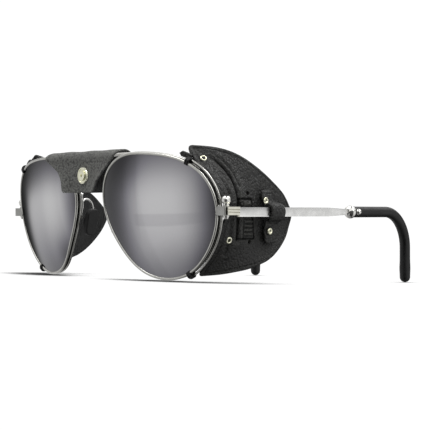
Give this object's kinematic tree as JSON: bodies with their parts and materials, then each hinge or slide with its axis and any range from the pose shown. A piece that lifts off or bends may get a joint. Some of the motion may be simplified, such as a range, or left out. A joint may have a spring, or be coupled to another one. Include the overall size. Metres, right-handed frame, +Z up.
{
  "type": "glacier glasses",
  "caption": "Round-lensed mountaineering glasses with a metal frame, leather side shields and nose cover, hinged temples and hooked rubber ear sleeves.",
  "frame": {"origin": "on the ground under the middle of the open glasses: on the mid-plane, half-way between the front of the nose snap and the backs of the ear bends; they stand on both rims and both ear tips at z = 0", "axes": "+X towards the wearer's left, +Y backwards along the open temples, +Z up"},
  "size_m": [0.149, 0.134, 0.0502],
  "materials": {
    "polished_metal": "polished",
    "brushed_metal": "satin",
    "lens": "silver mirror tint",
    "leather": "pebbled, semi-matt",
    "sleeve_rubber": "satin",
    "pad_rubber": "satin",
    "fastener_brass": "nickel-washed brass",
    "black_metal": "black lacquer"
  },
  "bodies": {
    "front": {"rim_left": "polished_metal", "rim_right": "polished_metal", "lens_left": "lens", "lens_right": "lens", "end_piece_left": "polished_metal", "end_piece_right": "polished_metal", "lock_screw_left": "polished_metal", "lock_screw_right": "polished_metal", "hinge_screw_left": "polished_metal", "hinge_screw_right": "polished_metal", "hinge_nut_left": "polished_metal", "hinge_nut_right": "polished_metal", "shield_wire_upper_left": "polished_metal", "shield_wire_upper_right": "polished_metal", "shield_wire_lower_left": "polished_metal", "shield_wire_lower_right": "polished_metal", "shield_hook_top_left": "black_metal", "shield_hook_top_right": "black_metal", "shield_hook_low_left": "black_metal", "shield_hook_low_right": "black_metal", "pad_arm_left": "polished_metal", "pad_arm_right": "polished_metal", "side_shield_left": "leather", "side_shield_right": "leather", "shield_eyelets_left": "fastener_brass", "shield_eyelets_right": "fastener_brass", "brow_bar": "polished_metal", "nose_leather": "leather", "snap_cap": "fastener_brass", "snap_back": "fastener_brass"},
    "temple_left": {"temple_left": "brushed_metal", "ferrule_left": "polished_metal", "ear_sleeve_left": "sleeve_rubber", "sleeve_rivet_left": "polished_metal", "loop_strap_left": "leather", "loop_rivets_left": "fastener_brass"},
    "temple_right": {"temple_right": "brushed_metal", "ferrule_right": "polished_metal", "ear_sleeve_right": "sleeve_rubber", "sleeve_rivet_right": "polished_metal", "loop_strap_right": "leather", "loop_rivets_right": "fastener_brass"},
    "pad_left": {"nose_pad_left": "pad_rubber"},
    "pad_right": {"nose_pad_right": "pad_rubber"}
  },
  "joints": [
    {"name": "temple_fold_left", "type": "hinge", "parent": "front", "child": "temple_left", "pos_m": [0.07128, -0.05028, 0.0264], "axis": [0, -0.0319, 0.9995], "range_deg": [0, 77], "deforming": ["side_shield_left"]},
    {"name": "temple_fold_right", "type": "hinge", "parent": "front", "child": "temple_right", "pos_m": [-0.07128, -0.05028, 0.0264], "axis": [0, 0.0319, -0.9995], "range_deg": [0, 55], "deforming": ["side_shield_right"]},
    {"name": "pad_rock_left", "type": "hinge", "parent": "front", "child": "pad_left", "pos_m": [0.01191, -0.05581, 0.02245], "axis": [0.309, 0.9506, 0.0304], "range_deg": [-8, 8]},
    {"name": "pad_rock_right", "type": "hinge", "parent": "front", "child": "pad_right", "pos_m": [-0.01191, -0.05581, 0.02245], "axis": [0.309, -0.9506, -0.0304], "range_deg": [-8, 8]}
  ]
}
